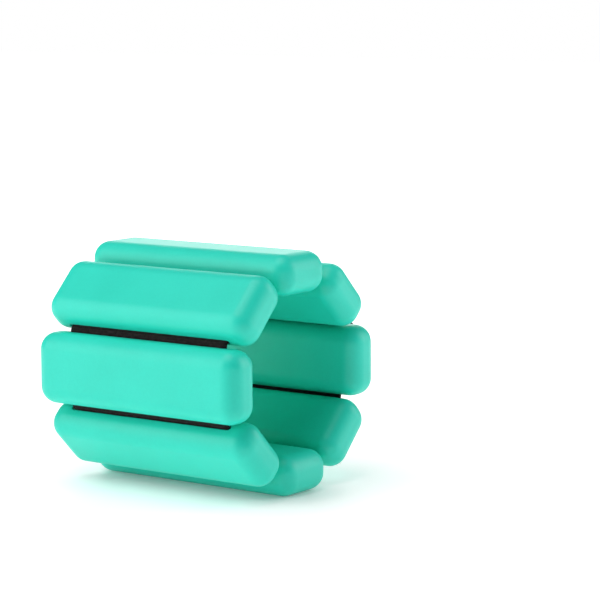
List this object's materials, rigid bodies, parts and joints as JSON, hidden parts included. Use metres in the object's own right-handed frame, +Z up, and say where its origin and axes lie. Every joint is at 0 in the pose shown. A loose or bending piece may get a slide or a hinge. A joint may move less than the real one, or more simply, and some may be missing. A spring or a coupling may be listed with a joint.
{
  "type": "ankle cuff weight",
  "caption": "Wearable limb weight: rounded silicone-covered steel bars in a ring on a wide elastic band, with a hook-and-loop tab to close it.",
  "frame": {"origin": "middle of the flat outer face of the bottom bar, on the surface the cuff lies on, under the centre of the ring", "axes": "+X along the ring's axis and the length of every bar; +Z up, from the bottom bar towards the top bar; +Y towards the side with the hook-and-loop tab"},
  "size_m": [0.076, 0.0733, 0.072],
  "materials": {
    "silicone": "satin",
    "steel_core": "satin",
    "elastic_band": "matte",
    "hook_tape": "matte",
    "loop_tape": "matte",
    "thread": "matte"
  },
  "bodies": {
    "bar_1": {"bar_1_jacket": "silicone", "bar_1_core": "steel_core", "band_length_1": "elastic_band"},
    "bar_2": {"bar_2_jacket": "silicone", "bar_2_core": "steel_core", "band_length_2": "elastic_band"},
    "bar_3": {"bar_3_jacket": "silicone", "bar_3_core": "steel_core", "band_length_3": "elastic_band"},
    "bar_4": {"bar_4_jacket": "silicone", "bar_4_core": "steel_core", "band_length_4": "elastic_band"},
    "bar_5": {"bar_5_jacket": "silicone", "bar_5_core": "steel_core", "band_length_5": "elastic_band"},
    "bar_6": {"bar_6_jacket": "silicone", "bar_6_core": "steel_core", "band_tail": "elastic_band"},
    "bar_7": {"bar_7_jacket": "silicone", "bar_7_core": "steel_core", "band_end": "elastic_band", "loop_pad": "loop_tape"},
    "bar_8": {"bar_8_jacket": "silicone", "bar_8_core": "steel_core", "band_length_8": "elastic_band"},
    "link_1_2": {"band_link_1_2": "elastic_band"},
    "link_2_3": {"band_link_2_3": "elastic_band"},
    "link_3_4": {"band_link_3_4": "elastic_band"},
    "link_4_5": {"band_link_4_5": "elastic_band"},
    "link_5_6": {"band_link_5_6": "elastic_band"},
    "link_8_1": {"band_link_8_1": "elastic_band"},
    "link_7_8": {"band_link_7_8": "elastic_band"},
    "tab": {"hook_tab": "elastic_band", "hook_patch": "hook_tape", "tab_stitching": "thread"}
  },
  "joints": [
    {"name": "cuff_open", "type": "hinge", "parent": "bar_1", "child": "link_1_2", "pos_m": [0, -0.01168, 0.0078], "axis": [1, 0, 0], "range_deg": [0, 45]},
    {"name": "band_stretch", "type": "slide", "parent": "link_1_2", "child": "bar_2", "axis": [0, -0.7071, 0.7071], "range_m": [0, 0.004], "stiffness_N_per_m": 3000, "springref_m": -0.001},
    {"name": "gap_2_3_bend", "type": "hinge", "parent": "bar_2", "child": "link_2_3", "pos_m": [0, -0.0282, 0.02432], "axis": [1, 0, 0], "range_deg": [0, 45]},
    {"name": "gap_2_3_stretch", "type": "slide", "parent": "link_2_3", "child": "bar_3", "axis": [0, 0, 1], "range_m": [0, 0.004], "stiffness_N_per_m": 3000, "springref_m": -0.001},
    {"name": "gap_3_4_bend", "type": "hinge", "parent": "bar_3", "child": "link_3_4", "pos_m": [0, -0.0282, 0.04768], "axis": [1, 0, 0], "range_deg": [0, 45]},
    {"name": "gap_3_4_stretch", "type": "slide", "parent": "link_3_4", "child": "bar_4", "axis": [0, 0.7071, 0.7071], "range_m": [0, 0.004], "stiffness_N_per_m": 3000, "springref_m": -0.001},
    {"name": "gap_4_5_bend", "type": "hinge", "parent": "bar_4", "child": "link_4_5", "pos_m": [0, -0.01168, 0.0642], "axis": [1, 0, 0], "range_deg": [0, 45]},
    {"name": "gap_4_5_stretch", "type": "slide", "parent": "link_4_5", "child": "bar_5", "axis": [0, 1, 0], "range_m": [0, 0.004], "stiffness_N_per_m": 3000, "springref_m": -0.001},
    {"name": "gap_5_6_bend", "type": "hinge", "parent": "bar_5", "child": "link_5_6", "pos_m": [0, 0.01168, 0.0642], "axis": [1, 0, 0], "range_deg": [0, 45]},
    {"name": "gap_5_6_stretch", "type": "slide", "parent": "link_5_6", "child": "bar_6", "axis": [0, 0.7071, -0.7071], "range_m": [0, 0.004], "stiffness_N_per_m": 3000, "springref_m": -0.001},
    {"name": "gap_8_1_stretch", "type": "slide", "parent": "bar_1", "child": "link_8_1", "axis": [0, 1, 0], "range_m": [0, 0.004], "stiffness_N_per_m": 3000, "springref_m": -0.001},
    {"name": "gap_8_1_bend", "type": "hinge", "parent": "link_8_1", "child": "bar_8", "pos_m": [0, 0.01168, 0.0078], "axis": [-1, 0, 0], "range_deg": [0, 45]},
    {"name": "gap_7_8_stretch", "type": "slide", "parent": "bar_8", "child": "link_7_8", "axis": [0, 0.7071, 0.7071], "range_m": [0, 0.004], "stiffness_N_per_m": 3000, "springref_m": -0.001},
    {"name": "gap_7_8_bend", "type": "hinge", "parent": "link_7_8", "child": "bar_7", "pos_m": [0, 0.0282, 0.02432], "axis": [-1, 0, 0], "range_deg": [0, 45]},
    {"name": "tab_peel", "type": "hinge", "parent": "bar_6", "child": "tab", "pos_m": [0, 0.03125, 0.0468], "axis": [1, 0, 0], "range_deg": [0, 45]}
  ],
  "couplings": [
    {"joint": "gap_2_3_bend", "follows": "cuff_open", "ratio": 1},
    {"joint": "gap_2_3_stretch", "follows": "band_stretch", "ratio": 1},
    {"joint": "gap_3_4_bend", "follows": "cuff_open", "ratio": 1},
    {"joint": "gap_3_4_stretch", "follows": "band_stretch", "ratio": 1},
    {"joint": "gap_4_5_bend", "follows": "cuff_open", "ratio": 1},
    {"joint": "gap_4_5_stretch", "follows": "band_stretch", "ratio": 1},
    {"joint": "gap_5_6_bend", "follows": "cuff_open", "ratio": 1},
    {"joint": "gap_5_6_stretch", "follows": "band_stretch", "ratio": 1},
    {"joint": "gap_8_1_stretch", "follows": "band_stretch", "ratio": 1},
    {"joint": "gap_8_1_bend", "follows": "cuff_open", "ratio": 1},
    {"joint": "gap_7_8_stretch", "follows": "band_stretch", "ratio": 1},
    {"joint": "gap_7_8_bend", "follows": "cuff_open", "ratio": 1}
  ]
}
